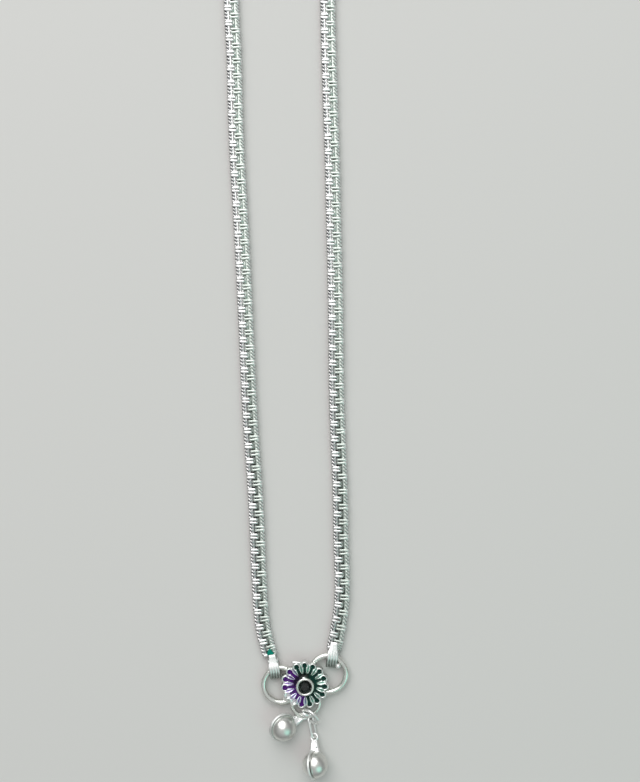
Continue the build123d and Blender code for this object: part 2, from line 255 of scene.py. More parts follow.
# %% [markdown]
# ## The two strands
# Each strand is a flat chain of two rows of interlocked links. Every link is a flat ring: its ribbed back
# is at the top on its own side, its two arms reach across to the middle, dip down into the neighbouring
# links, and end in a second back underneath on the other side.
#
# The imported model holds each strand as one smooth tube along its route, so the route's points are repeated
# here and drawn as one smooth curve, and the links are set along it.

# %% Routes of the strands
LEFT_ROUTE = [  # mm from the flower's middle
    (-5.97, 4.63), (-6.71, 6.85), (-7.42, 10.1), (-7.76, 14.2), (-8.1, 20.7), (-8.32, 27.4), (-8.75, 34.9),
    (-9.4, 43.4), (-9.78, 51), (-10.12, 59.6), (-10.66, 70.9), (-11.26, 82.4), (-11.88, 92.6), (-12.1, 100.8),
    (-12.3, 108.8), (-12.8, 117.3), (-12.86, 122), (-12.4, 125.8), (-11, 129.1), (-9.35, 131.2),
]
RIGHT_ROUTE = [
    (4.94, 5.7), (5.3, 7.4), (5.74, 9.7), (6.2, 12.6), (6.42, 16.2), (6.31, 20), (6.12, 25.5), (6.08, 31.4),
    (5.84, 38), (5.5, 45.4), (5.33, 52.5), (5.28, 61.4), (5.1, 71.4), (4.84, 81), (4.72, 88), (4.46, 95.6),
    (4.2, 103.6), (3.98, 110.6), (3.86, 117), (3.9, 121.9), (3.4, 125.8), (2, 129.1), (0.35, 131.2),
]


def route_line(name, route):
    """Points along the smooth curve that has the route's points as its control points."""
    curve = bpy.data.curves.new(name, "CURVE")
    curve.dimensions = "3D"
    curve.resolution_u = 16
    spline = curve.splines.new("NURBS")
    spline.points.add(len(route) - 1)
    for point, (x, y) in zip(spline.points, route):
        point.co = (*spot(x, y), 1)
    spline.order_u = 3
    spline.use_endpoint_u = True
    carrier = bpy.data.objects.new(name, curve)
    mesh = bpy.data.meshes.new_from_object(carrier)
    line = np.array([v.co[:2] for v in mesh.vertices])
    bpy.data.objects.remove(carrier)
    print(name, round(np.hypot(*np.diff(line, axis=0).T).sum() / MM, 2), "mm long")
    return line


left_line = route_line("left_route", LEFT_ROUTE)
right_line = route_line("right_route", RIGHT_ROUTE)

# %% [markdown]
# ## One link
# A link is made from four kinds of part: two arms, swept as bent bars; a ribbed back above and the same
# back below; and a thin web in the window between the arms, where the pressed metal closes up round its
# neighbour. All of them are simple grids, and the arms carry most of the look: they are round on top, and
# their ends swell towards the chain's edge, so that neighbours almost touch there and leave only a short
# dark slot in the middle.
#
# A link is described in millimetres by `s` along the chain from the link's middle, `u` across it from the
# link's own edge, and the height `z`.

# %% The link's parts
CHAIN_WIDTH = 2.6
CHAIN_THICK = 1.3
LINK_PITCH = 2.6
RIB_PITCH, RIB_LEAN, RIB_START = 0.6, 0.75, 0.6
BACK_HALF, BACK_FOOT = 0.95, 0.84  # half the back's length, and its underside
STEP = (0.5, 0.62)  # across: the ribs end and the plain step begins


def bent_bar(side, reach, slot, around=12):
    """One arm: out from the link's own edge along the top, down at its reach, and on to the far edge."""
    near = LINK_PITCH / 2 - slot / 2
    stations = [  # u, z, half thickness, inner and outer face in s
        (0.02, 0.93, 0.10, 0.88, 1.24), (0.06, 0.99, 0.17, 0.84, 1.275), (0.15, 1.05, 0.21, 0.81, 1.295),
        (0.36, 1.08, 0.22, 0.80, 1.295), (0.6, 1.085, 0.215, 0.80, 1.285), (0.84, 1.085, 0.21, 0.80, near),
        (reach - 0.22, 1.08, 0.21, 0.80, near), (reach - 0.08, 1.06, 0.20, 0.80, near),
        (reach + 0.02, 0.97, 0.19, 0.81, near - 0.01), (reach + 0.06, 0.78, 0.17, 0.83, 1.19),
        (reach + 0.10, 0.54, 0.17, 0.83, 1.19), (reach + 0.22, 0.33, 0.19, 0.83, 1.2),
        (reach + 0.45, 0.24, 0.2, 0.82, 1.2), (2.1, 0.22, 0.21, 0.82, 1.25), (2.35, 0.22, 0.2, 0.83, 1.27),
        (2.5, 0.26, 0.16, 0.86, 1.24), (2.57, 0.33, 0.1, 0.9, 1.18),
    ]
    path = np.array([st[:2] for st in stations])
    ahead = np.gradient(path, axis=0)
    ahead /= np.hypot(*ahead.T)[:, None]
    turn = full_turn(around)
    ring_s = np.sign(np.cos(turn)) * np.abs(np.cos(turn)) ** 0.6
    ring_n = np.sign(np.sin(turn)) * np.abs(np.sin(turn)) ** 0.75
    points = []
    for (u, z, half, inner, outer), (du, dz) in zip(stations, ahead):
        s = side * ((inner + outer) / 2 + (outer - inner) / 2 * ring_s)
        points += list(zip(s, u - dz * half * ring_n, z + du * half * ring_n))
    faces = grid_faces(len(stations), around, "capped")
    return points, faces if side > 0 else flipped(faces)


def rib_wave(s, u, side):
    """The leaning ribs as a wave from -1 in a valley to 1 on a crest; seen from above all lean one way."""
    wave = np.sin(2 * np.pi * (s - side * RIB_LEAN * u) / RIB_PITCH + RIB_START)
    return wave * smoothstep(BACK_HALF, 0.8, np.abs(s))


def ribbed_back(rib, side, rows=32, columns=11):
    """The upper back: three leaning ribs along the chain's edge and a plain step inside them."""
    s, u = np.meshgrid(np.linspace(-BACK_HALF, BACK_HALF, rows), np.linspace(0.03, 0.84, columns),
                       indexing="ij")
    inside = smoothstep(*STEP, u)
    shoulder = np.sqrt(np.clip(1 - ((0.38 - u) / 0.38).clip(0) ** 2, 0, 1))
    top = 0.86 + 0.29 * shoulder + rib * rib_wave(s, u, side) * (1 - inside) * shoulder - 0.03 * inside
    bottom = np.full_like(top, BACK_FOOT)
    points = [*zip(s.ravel(), u.ravel(), top.ravel()), *zip(s.ravel(), u.ravel(), bottom.ravel())]
    count = rows * columns
    faces = grid_faces(rows, columns) + flipped(grid_faces(rows, columns, start=count))
    rim = [i * columns for i in range(rows)] + [(rows - 1) * columns + j for j in range(1, columns)]
    rim += [i * columns + columns - 1 for i in range(rows - 2, -1, -1)] + list(range(columns - 2, 0, -1))
    faces += [(a, b, b + count, a + count) for a, b in zip(rim, rim[1:] + rim[:1])]
    return points, faces


WEB_HALF, WEB_TOP = 0.79, 0.92


def window_web():
    """The flat floor of the window, under the arms' tops."""
    corners = [(s, u, z) for s in (-WEB_HALF, WEB_HALF) for u in (0.8, 1.29) for z in (0.67, WEB_TOP)]
    return corners, [(2, 3, 1, 0), (5, 7, 6, 4), (1, 5, 4, 0), (6, 7, 3, 2), (4, 6, 2, 0), (3, 7, 5, 1)]


def underneath(part):
    """The same part on the link's other face and other edge."""
    points, faces = part
    return [(-s, CHAIN_WIDTH - u, CHAIN_THICK - z) for s, u, z in points], flipped(faces)


def link(row, reach, slot, rib):
    """A whole link of the left (-1) or right (1) row as points (s, u, z) and faces. The arms dip at
    `reach`, neighbours' arms leave a `slot` between them, and the ribs stand `rib` high."""
    back, web = ribbed_back(rib, row), window_web()
    points, faces = [], []
    for part_points, part_faces in (bent_bar(1, reach, slot), bent_bar(-1, reach, slot), back,
                                    underneath(back), web, underneath(web)):
        faces += [tuple(i + len(points) for i in face) for face in part_faces]
        points += part_points
    return np.array(points), faces


print("one link has", len(link(-1, 1.42, 0.12, 0.12)[1]), "faces")

# %% [markdown]
# ## A row of links
# The links of a row are copies of one another, set along the curve. Each is bent with the curve, so a turn
# never makes neighbours collide, and each leans and sits a hair differently, as loose links do. In polished
# metal that small difference matters most, because every link then catches the light in its own way.
#
# The dark in the recesses is painted shade, stored from how deep a point lies, and it also darkens the
# valleys between the ribs and the step inside them. The whiter outer edge is stored too, partly wear and
# partly a painted highlight. Near the flower the windows are deep and the painted shade is dark. Further up
# they are worn and pressed nearly flush, so the webs rise there and the painted shade fades.

# %% Dark and bright places of a link
def in_window(s, u):
    """Whether a point belongs to the window between the arms."""
    return (np.abs(s) < WEB_HALF + 0.005) & (np.abs(u - CHAIN_WIDTH / 2) < 0.51)


def link_depth(z):
    """How far a point lies under the nearer face of the link."""
    return np.minimum(z, CHAIN_THICK - z)


def link_shade_and_wear(pattern, rib, side, near_flower):
    """Painted shade, and the edge whitened partly as wear and partly as painted highlight, of every point of
    a link.
    """
    s, u, z = pattern.T
    # Painted shade: darker the deeper a point lies and in the windows, more so near the flower.
    deep = (0.3 + 0.6 * near_flower) * smoothstep(0.3, 0.6, link_depth(z)) * smoothstep(0.0, 0.12, u)
    deep = np.where(in_window(s, u), 0.08 + 0.5 * near_flower, deep)
    # Painted shade in the valleys between the ribs and on the plain step inside them.
    valley = 9 * rib * smoothstep(0.2, -0.7, rib_wave(s, u, side)) * smoothstep(0.6, 0.45, u)
    ledge = (2.8 + 2.2 * near_flower) * rib * smoothstep(*STEP, u) * smoothstep(0.8, 0.7, np.abs(s))
    grime = np.maximum(deep, np.where(z > BACK_FOOT + 0.01, valley + ledge, 0))
    # The outer edge is whitened, partly as wear and partly as a painted highlight.
    return np.array([grime, smoothstep(0.45, 0.15, u)])


print("a window's floor is", link_depth(WEB_TOP).round(2), "mm deep near the flower")

# %% Rows of links
FIRST_LINK = 1.33  # mm along the strand to the middle of its first link
SHORT_LINK, SHORT_PLACE = 0.62, 0.52  # a shorter link closes the front end of a right-hand row
# The links' painted shade is full up to DARK_TO and gone from BRIGHT_FROM on.
DARK_TO, BRIGHT_FROM = 25, 75  # mm along the strand
WEB_RISE = 0.2
LOOSE_LEAN, LOOSE_TIP, LOOSE_SHIFT = 1.4, 0.8, 0.015  # degrees, degrees, mm


def row_of_links(name, line, first, side, material, seed, reach, slot, rib):
    """Links along a line: side -1 is the left row and +1 the right row, seen from above."""
    chance = np.random.default_rng(seed)
    steps = np.hypot(*np.diff(line, axis=0).T)
    reached = np.concatenate([[0], np.cumsum(steps)]) / MM
    heading = np.gradient(line, axis=0)
    heading /= np.hypot(*heading.T)[:, None]
    pattern, pattern_faces = link(side, reach, slot, rib)
    if side > 0:
        pattern_faces = flipped(pattern_faces)
    s, u, z = pattern.T
    across = side * (CHAIN_WIDTH / 2 - u)
    web_face = in_window(s, u) & np.isclose(link_depth(z), link_depth(WEB_TOP))
    rise = WEB_RISE * web_face * np.sign(z - CHAIN_THICK / 2)
    count = int((reached[-1] - first - LINK_PITCH / 2) / LINK_PITCH) + 1
    places = [(first + i * LINK_PITCH, 1.0) for i in range(count)]
    if first > LINK_PITCH:
        places.insert(0, (SHORT_PLACE, SHORT_LINK))
    points, faces, shade_and_wear = [], [], []
    for middle, length in places:
        near_flower = float(smoothstep(BRIGHT_FROM, DARK_TO, middle))
        lean = math.radians(chance.normal(0, LOOSE_LEAN))
        tip = math.radians(chance.normal(0, LOOSE_TIP))
        height = z + (1 - near_flower) * rise + (u - CHAIN_WIDTH / 2) * math.tan(lean)
        height = np.clip(height + s * length * math.tan(tip), 0, CHAIN_THICK + 0.03)
        along = middle + s * length + chance.normal(0, LOOSE_SHIFT)
        x, y = (np.interp(along, reached, line[:, i]) for i in (0, 1))
        dx, dy = (np.interp(along, reached, heading[:, i]) for i in (0, 1))
        faces += [tuple(i + len(points) for i in face) for face in pattern_faces]
        points += np.column_stack([x + dy * across * MM, y - dx * across * MM, height * MM]).tolist()
        shade_and_wear.append(link_shade_and_wear(pattern, rib, side, near_flower))
    grime, polish = np.hstack(shade_and_wear)
    return piece(name, points, faces, material, grime=grime, polish=polish)


for strand, line, seed in (("left", left_line, 11), ("right", right_line, 23)):
    row = row_of_links(f"strand_{strand}_left_row", line, FIRST_LINK, -1, chain_left_row, seed,
                       reach=1.42, slot=0.12, rib=0.12)
    row_of_links(f"strand_{strand}_right_row", line, FIRST_LINK + LINK_PITCH / 2, 1, chain_right_row_teal_shade,
                 seed + 1, reach=1.58, slot=0.17, rib=0.08)
    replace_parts(row, f"strap_{strand}")

# %% [markdown]
# ## The flower's plate
# The plate is fifteen drop-shaped cells of rounded wire, soldered side by side round the setting. Two
# neighbouring walls together look like a leaf with a fine crease down its middle. Bending thirty wires would
# be slow and would leave untidy joins, so the plate is one relief: a round grid whose height comes from two
# distances, `inside` to the cell's wall and `outside` to the petal's own edge. Between the two the wall is
# half a circle, so every wall is round whatever its width.

# %% Shape of one petal
PETALS, GREEN_PETALS = 15, 9
BARE_PETALS = (10, 11)  # their tips have lost the enamel
FIRST_PETAL = -25.5  # degrees clockwise from the strands' side
HALF_PETAL = math.pi / PETALS
SETTING_RADIUS = 1.525
LOBE_PLACE, LOBE_RADIUS, VALLEY = 3.35, 0.70, 3.62  # the scalloped outline


def blend_distance(a, b, softness=0.03):
    """The smaller of two distances, with the corner between them rounded."""
    return -softness * np.logaddexp(-a / softness, -b / softness)


def petal_place(radius, clockwise):
    """Which petal a point is in, and its place in that petal: across, outward and the angle."""
    turn = (clockwise - math.radians(FIRST_PETAL) + HALF_PETAL) / (2 * HALF_PETAL)
    which = np.floor(turn).astype(int) % PETALS
    angle = (turn - np.floor(turn) - 0.5) * 2 * HALF_PETAL
    return which, radius * np.sin(angle), radius * np.cos(angle), angle


def cell_distance(radius, clockwise):
    """Distance to the wall of the enamel's cell, below zero inside it: a throat that ends in a round
    drop, and opens into the pool round the setting."""
    _, across, outward, _ = petal_place(radius, clockwise)
    half = 0.105 + 0.24 * (np.clip(2.8 - outward, 0, 2) / 0.92) ** 2.4
    throat = np.maximum(np.abs(across) - half, outward - 3.3)
    drop = np.hypot(across, outward - 3.32) - 0.31
    return blend_distance(blend_distance(throat, drop), radius - 1.92)


def rim_distance(radius, clockwise):
    """Distance to the crease between petals, and to the scalloped outline."""
    _, across, outward, angle = petal_place(radius, clockwise)
    crease = radius * np.sin(HALF_PETAL - np.abs(angle))
    outline = np.maximum(VALLEY - radius, LOBE_RADIUS - np.hypot(across, outward - LOBE_PLACE))
    return crease, outline


def outline_radius(clockwise):
    """How far out the scalloped outline is."""
    _, side, tip, _ = petal_place(LOBE_PLACE, clockwise)
    return np.maximum(VALLEY, tip + np.sqrt(np.clip(LOBE_RADIUS ** 2 - side ** 2, 0, None)))


def widened(radius, clockwise):
    """The petals are pulled out sideways a little, most on the purple side."""
    side = np.sin(clockwise)
    return radius * (1 + (0.032 * side ** 2 - 0.018 * side) * smoothstep(1.6, 2.6, radius))


print("petals reach", round(float(outline_radius(np.linspace(0, 6, 600)).max()), 2), "mm out")

# %% [markdown]
# The relief is sampled on a round grid that reaches from under the setting to the outline, then down the
# side and back under, so the plate is a closed body. The tint of the thin enamel that was wiped into the
# leaves, sea-green on one side and lilac on the other, is stored on the points too, and so is a darkening
# along the creases.

# %% Heights and tints of the plate
PLATE_LOW, CELL_FLOOR, WALL_FOOT = 1.35, 2.08, 2.34
PLATE_INNER = 1.4
BARE_METAL = (0.86, 0.88, 0.86)


def plate_height(radius, clockwise):
    """Height of the plate's face."""
    which, _, outward, _ = petal_place(radius, clockwise)
    inside = cell_distance(radius, clockwise)
    crease, outline = rim_distance(radius, clockwise)
    outside = np.minimum(crease, outline)
    width = np.clip(inside, 0, None) + np.clip(outside, 0, None)
    share = np.clip(inside, 0, None) / np.maximum(width, 1e-4)
    rise = np.sqrt(np.clip(1 - (1 - 2 * share) ** 2, 0, 1))
    low = np.where(crease < outline, 0.3, 0.1)
    rise = np.where(share > 0.5, low + (1 - low) * rise, rise)
    floor_height = np.where(np.isin(which, BARE_PETALS) & (outward > 2.85), WALL_FOOT + 0.02, CELL_FLOOR)
    crest = WALL_FOOT + 0.04 + 0.55 * np.clip(width, 0, 0.5)
    return np.where(inside > 0, floor_height + (crest - floor_height) * rise, floor_height)


def flower_tint(radius, clockwise):
    """Silver outside, turning sea-green or lilac on the leaves."""
    turn = np.mod(clockwise - math.radians(FIRST_PETAL) + HALF_PETAL, 2 * np.pi)
    green = (turn < GREEN_PETALS * 2 * HALF_PETAL)[..., None]
    film = np.where(green, (0.30, 0.62, 0.50), (0.50, 0.30, 0.80))
    wiped_in = 0.3 + 0.7 * smoothstep(0.13, 0.03, rim_distance(radius, clockwise)[0])
    amount = (0.9 * smoothstep(3.6, 2.9, radius) * wiped_in)[..., None]
    colour = np.array(BARE_METAL) * (1 - amount) + film * amount
    return np.concatenate([colour, np.ones_like(amount)], axis=-1)


def polar_points(radius, clockwise, z):
    """Points round the flower's axis."""
    return spots(radius * np.sin(clockwise), radius * np.cos(clockwise), z)


# %% Plate
AROUND, OUT = PETALS * 40, 62  # points round and outward
clockwise, share = np.meshgrid(np.linspace(0, 2 * np.pi, AROUND, endpoint=False),
                               np.linspace(0, 1, OUT), indexing="ij")
edge = outline_radius(clockwise)
radius = PLATE_INNER + (edge - PLATE_INNER) * share
height, tint = plate_height(radius, clockwise), flower_tint(radius, clockwise)
# Darker along the creases between the petals.
darkened = 0.75 * smoothstep(0.05, 0.0, rim_distance(radius, clockwise)[0]) * smoothstep(3.5, 2.9, radius)
rim = edge[:, -1:]
low = np.full_like(rim, PLATE_LOW)
radius = np.hstack([radius, rim + 0.02, rim, np.full_like(rim, 0.05)])
height = np.hstack([height, low + 0.5, low, low])
column = np.minimum(np.arange(OUT + 3), OUT - 1)
clockwise, tint, darkened = clockwise[:, column], tint[:, column], darkened[:, column]

flower_silver = silver("flower_silver", BARE_METAL, (0.20, 0.22, 0.22), smooth=0.16, dull=0.3, cloud=0.15)
shades = flower_silver.node_tree
give(shades, shades.nodes["Base Color mix"], A=stored(shades, "tint", "Color"))
plate = piece("flower_plate", polar_points(widened(radius, clockwise), clockwise, height),
              flipped(grid_faces(AROUND, OUT + 3, "both")), flower_silver,
              tint=tint.reshape(-1, 4), grime=darkened.ravel())
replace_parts(plate, "flower_station")

# %% [markdown]
# ## Setting, rings and solder
# The setting is a short tube with a round lip, so it is one profile turned round its axis. The three rings
# are round wire bent and soldered by hand: never quite a circle and never quite even, so each has a small
# wave in its radius and a little flattening here and there.

# %% Setting
LIP_HALF, LIP_HEIGHT = 0.21, 3.79
TURNS = 128
lip = [(SETTING_RADIUS - LIP_HALF + LIP_HALF * math.cos(a), LIP_HEIGHT + LIP_HALF * math.sin(a))
       for a in np.linspace(math.pi, 0, 15)]
profile = np.array([(1.02, 2.9), (1.06, 3.45), *lip, (SETTING_RADIUS, 3.4), (SETTING_RADIUS - 0.01, 2.6),
                    (SETTING_RADIUS + 0.03, 2.35), (SETTING_RADIUS + 0.06, 2.1)])
clockwise, index = np.meshgrid(full_turn(TURNS), np.arange(len(profile)), indexing="ij")
piece("setting", polar_points(profile[index, 0], clockwise, profile[index, 1]),
      flipped(grid_faces(TURNS, len(profile), "both")), wire_silver)

# %% Wire rings
def wire_ring(name, middle, radius, wire, height, seed, around=144, section=24):
    """A hand-bent ring of round wire lying flat, in millimetres."""
    chance = np.random.default_rng(seed)
    turn = full_turn(around)
    wave = sum(chance.normal(0, 0.012) * np.cos(k * turn + chance.uniform(0, 6)) for k in (2, 3, 5))
    thick = 1 + sum(chance.normal(0, 0.02) * np.cos(k * turn + chance.uniform(0, 6)) for k in (2, 4, 7))
    round_wire = full_turn(section)
    out = radius + wave[:, None] + wire * thick[:, None] * np.cos(round_wire)
    points = spots(middle[0] + out * np.cos(turn)[:, None], middle[1] + out * np.sin(turn)[:, None],
                   height + wire * thick[:, None] * np.sin(round_wire))
    faces = flipped(grid_faces(around, section, "both"))
    return piece(name, points, faces, wire_silver)


wire_ring("ring_left", (-4.19, -0.39), radius=2.98, wire=0.49, height=0.95, seed=3)
wire_ring("ring_right", (3.89, 1.54), radius=3.14, wire=0.49, height=0.95, seed=4)
wire_ring("ring_below", (0.05, -3.22), radius=2.46, wire=0.3, height=1.15, seed=5)

# %% [markdown]
# Solder runs into the joins and freezes as small bright drops. A drop is a ball pressed flat, with a little
# noise in its surface so that it isn't a perfect dome. The small bar at the plate's upper edge is what is
# left of the wire that held the cells while they were soldered.

# %% Solder drops and the bar
def blob(name, place, size, material, seed, slot="silver", rough=0.06, detail=28):
    """A slightly uneven ball, `size` being its half axes in millimetres."""
    chance = np.random.default_rng(seed)
    up, round_about = np.meshgrid(np.linspace(0.02, np.pi - 0.02, detail // 2), full_turn(detail),
                                  indexing="ij")
    lump = 1 + sum(rough * chance.normal() * np.cos(k * round_about + chance.uniform(0, 6)) * np.sin(up) ** k
                   for k in (1, 2, 3))
    x, y, z = place
    points = spots(x + size[0] * lump * np.sin(up) * np.cos(round_about),
                   y + size[1] * lump * np.sin(up) * np.sin(round_about), z + size[2] * lump * np.cos(up))
    faces = flipped(grid_faces(detail // 2, detail, "capped"))
    return piece(name, points, faces, material, slot)


bright_solder = silver("bright_solder", (0.93, 0.93, 0.92), (0.6, 0.6, 0.58), smooth=0.12, dull=0.25)
blob("solder_left", (-3.14, -2.53, 1.62), (0.6, 0.5, 0.5), bright_solder, 7)
blob("solder_below", (-1.98, -3.45, 1.6), (0.5, 0.45, 0.5), bright_solder, 8)
blob("solder_speck", (-0.2, 1.58, 3.76), (0.27, 0.16, 0.15), neck_silver, 6)
blob("solder_jump", (-0.02, -5.42, 1.36), (0.62, 0.5, 0.42), neck_silver, 13, rough=0.1)
blob("solder_shut", (0.92, -5.35, 1.42), (0.3, 0.26, 0.26), neck_silver, 14)
blob("solder_bar", (-1.35, 3.79, 2.25), (1.0, 0.24, 0.27), bright_solder, 9)

# %% [markdown]
# ## Enamel
# Enamel is powdered glass melted into the cells. It is deep in colour, very glossy, and it climbs a little
# where it wets the metal, so each cell shows a curved edge of light. Each colour is a thin body over its
# own petals, cut from the same round grid and kept only inside the cells and just under their walls. Its
# sides and its underside are hidden in the plate, and stay flat-shaded so that the face keeps its shine.

# %% Enamel finish
def enamel_glass(name, colour, deep):
    """Glossy glass over metal, darker in clouds where it lies thicker, and painted black as shade where that
    is stored.
    """
    material, tree, glass = new_material(name)
    place = add(tree, "ShaderNodeTexCoord").outputs["Object"]
    clouds = add(tree, "ShaderNodeTexNoise", Vector=place, Scale=900.0, Detail=4.0)
    cloudy = colour_mix(tree, clouds.outputs["Fac"], (*deep, 1), (*colour, 1))
    smoked = colour_mix(tree, stored(tree, "smoke"), cloudy.outputs["Result"], (0.001, 0.003, 0.003, 1))
    ripple = add(tree, "ShaderNodeTexNoise", Vector=place, Scale=2200.0, Detail=2.0)
    relief = add(tree, "ShaderNodeBump", Height=ripple.outputs["Fac"], Strength=0.25, Distance=0.00002)
    give(tree, glass, Roughness=0.08, Specular_IOR_Level=0.18, Base_Color=smoked.outputs["Result"],
         Normal=relief.outputs["Normal"])
    return material


# %% Enamel bodies
ENAMEL_LEVEL, ENAMEL_UNDERSIDE = 2.29, 2.02
WETTED = 0.07  # how high the glass climbs the walls, and how far it goes under them
DARK_POOL_SIDE = -38  # degrees clockwise: on this side the pool round the setting is painted black as shade


def enamel_body(name, first, count, material, inner=1.5, around=PETALS * 32, out=50):
    """The enamel of some petals: its face, a copy straight below it, and the sides between them."""
    start = math.radians(FIRST_PETAL) + (2 * first - 1) * HALF_PETAL
    spread = np.linspace(0, count * 2 * HALF_PETAL, around * count // PETALS + 1)
    clockwise, share = np.meshgrid(start + spread, np.linspace(0, 1, out), indexing="ij")
    radius = inner + (outline_radius(clockwise) - inner) * share
    inside = cell_distance(radius, clockwise)
    which, _, outward, _ = petal_place(radius, clockwise)
    climb = WETTED * np.exp(np.minimum(inside, 0) / WETTED) + 0.05 * np.exp(-(radius - SETTING_RADIUS) / 0.08)
    keep = ((inside < WETTED) & ~(np.isin(which, BARE_PETALS) & (outward > 2.95))).ravel()
    faces = [f for f in grid_faces(len(radius), out) if all(keep[i] for i in f)]
    used = sorted({i for f in faces for i in f})
    renumber = {old: new for new, old in enumerate(used)}
    face = [tuple(renumber[i] for i in reversed(f)) for f in faces]
    edges = {(f[i], f[(i + 1) % 4]) for f in face for i in range(4)}
    side = [(b, a, a + len(used), b + len(used)) for a, b in sorted(edges) if (b, a) not in edges]
    under = [tuple(i + len(used) for i in reversed(f)) for f in face]
    # Painted shade: near-black enamel in the pool round the setting on one side.
    from_dark_side = np.abs(np.mod(clockwise - math.radians(DARK_POOL_SIDE) + math.pi, 2 * math.pi) - math.pi)
    pool = smoothstep(2.5, 1.75, radius) * smoothstep(math.radians(95), math.radians(35), from_dark_side)
    radius = widened(radius, clockwise)
    points = np.concatenate([polar_points(radius, clockwise, ENAMEL_LEVEL + climb)[used],
                             polar_points(radius, clockwise, np.full_like(radius, ENAMEL_UNDERSIDE))[used]])
    body = piece(name + "_glass", points, face + side + under, material, name,
                 smoke=np.tile(0.9 * pool.ravel()[used], 2))
    body.data.polygons.foreach_set("use_smooth", [i < len(face) for i in range(len(body.data.polygons))])
    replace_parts(body, name)


green_glass = enamel_glass("green_enamel", (0.0, 0.048, 0.032), (0.0, 0.013, 0.011))
purple_glass = enamel_glass("purple_enamel", (0.095, 0.010, 0.215), (0.032, 0.003, 0.085))
enamel_body("enamel_green", 0, GREEN_PETALS, green_glass)
enamel_body("enamel_purple", GREEN_PETALS, PETALS - GREEN_PETALS, purple_glass)
spilt_glass = enamel_glass("spilt_enamel", (0.0, 0.30, 0.21), (0.0, 0.09, 0.065))
blob("enamel_splash", (-6.02, 5.25, 1.33), (0.52, 0.60, 0.17), spilt_glass, 12, "enamel_green", rough=0.12)

# %% [markdown]
# ## Stone
# The stone is smoky and facet-cut. It is so dark that only its polish shows, so it is a near-black glass
# with a sharp gloss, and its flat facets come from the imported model.

# %% Stone finish
def dress(node, material):
    """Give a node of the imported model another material."""
    nodes[node].data.materials.clear()
    nodes[node].data.materials.append(material)
    print(node, "is now", material.name)


smoky, tree, glass = new_material("smoky_stone")
give(tree, glass, Base_Color=(0.06, 0.075, 0.07, 1), Specular_IOR_Level=0.35, Roughness=0.03, IOR=1.55,
     Transmission_Weight=0.9)
dress("stone", smoky)

# %% [markdown]
# ## End loops
# At the front, each strand ends in a fluted band. It lies on the last link as a narrow tongue, widens, goes
# over the ring and folds back under it. A bent plate would do, but the flutes are what the eye sees, so the
# band is one cross-section with four rounded flutes, carried along the fold while its width changes.

# %% Fluted bands
FLUTES = 4


def fold_path(near, far, tongue_back):
    """Rows of the band's middle line: reach past the wire, height, width, thickness, depth of the flutes."""
    path = [(-tongue_back, 1.40, 1.10, 0.5, 0.0), (-tongue_back + 0.06, 1.44, 1.16, 0.6, 0.0),
            (-tongue_back + 0.5, 1.50, 1.22, 0.65, 0.05), (-1.3, 1.60, 1.40, 0.75, 0.1),
            (-0.95, 1.67, 1.72, 0.85, 0.12), (-0.55, 1.74, 1.86, 1.0, 0.15), (-0.1, 1.80, 1.86, 1.0, 0.25),
            (0.2, 1.81, 1.84, 1.0, 0.6), (0.6, 1.73, 1.82, 1.0, 1.0), (far - 0.55, 1.58, 1.84, 1.0, 1.0),
            (far - 0.2, 1.36, 1.86, 1.0, 1.0), (far + 0.05, 1.10, 1.88, 1.0, 1.0),
            (far + 0.12, 0.84, 1.88, 1.0, 1.0)]
    for turn in (110, 135, 160, 180):
        a = math.radians(turn)
        path.append((far - 0.45 + 0.57 * math.sin(a), 0.62 + 0.40 * math.cos(a), 1.88, 1.0, 1.0))
    path.append((0.5 * (far - near), 0.22, 1.86, 1.0, 0.6))
    for turn in np.linspace(180, 335, 8):
        a = math.radians(turn)
        path.append((0.55 - near + 0.72 * math.sin(a), 0.92 + 0.70 * math.cos(a), 1.8, 1.0, 0.4))
    return np.array(path)


def fluted_band(side, wire_point, away, near, far, tongue_back):
    """The band of one side: `wire_point` is over the ring's wire and `away` leads off the strand."""
    path = fold_path(near, far, tongue_back)
    ahead = np.gradient(path[:, :2], axis=0)
    ahead /= np.hypot(*ahead.T)[:, None]
    lie = np.linspace(-0.5, 0.5, FLUTES * 10 + 1)
    in_flute = (lie * FLUTES) % 1.0 - 0.5
    under = lie[::-8]
    points, grime = [], []
    for (reach, height, width, thick, depth), (da, dz) in zip(path, ahead):
        crown = 0.2 - 0.17 * depth * (2 * in_flute) ** 2 - 0.08 * (1 - depth) * (2 * lie) ** 4
        across = np.concatenate([lie, under]) * width
        out = np.concatenate([crown, np.full(len(under), -0.19)]) * thick
        a, z = reach - dz * out, height + da * out
        x = wire_point[0] + a * away[0] - across * away[1]
        y = wire_point[1] + a * away[1] + across * away[0]
        points += spots(x, y, z).tolist()
        # Painted shade: the band is darker past the ring's wire, on its fold and underneath, and along the
        # flutes' grooves.
        beyond = smoothstep(0.1, 0.7, reach) if height > 0.5 else 0.6
        darkened = 0.6 * beyond + 0.4 * depth * smoothstep(0.3, 0.5, np.abs(in_flute))
        grime += np.concatenate([darkened, np.full(len(under), 0.4)]).tolist()
    faces = flipped(grid_faces(len(path), len(lie) + len(under), "capped"))
    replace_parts(piece(f"band_{side}", points, faces, band_silver, grime=grime), f"end_loop_{side}")


fluted_band("left", (-5.29, 2.4), (0.165, -0.986), near=1.5, far=1.5, tongue_back=2.55)
fluted_band("right", (4.7, 4.59), (-0.128, -0.992), near=0.6, far=1.75, tongue_back=2.5)
blob("solder_bead", (5.66, 2.97, 1.5), (0.46, 0.46, 0.42), neck_silver, 10, rough=0.02)

# %% [markdown]
# ## Bells
# A ghungroo is two stamped half balls whose rims are turned out, laid together and soldered, with a slit left
# open round the far end. Cutting a slit into a ball with a boolean would leave ragged faces, so each half is
# one profile turned round the axis across the seam, a hair short of the middle. The slit is then simply the
# gap between the halves, and a short strip of solder closes it beside the neck.

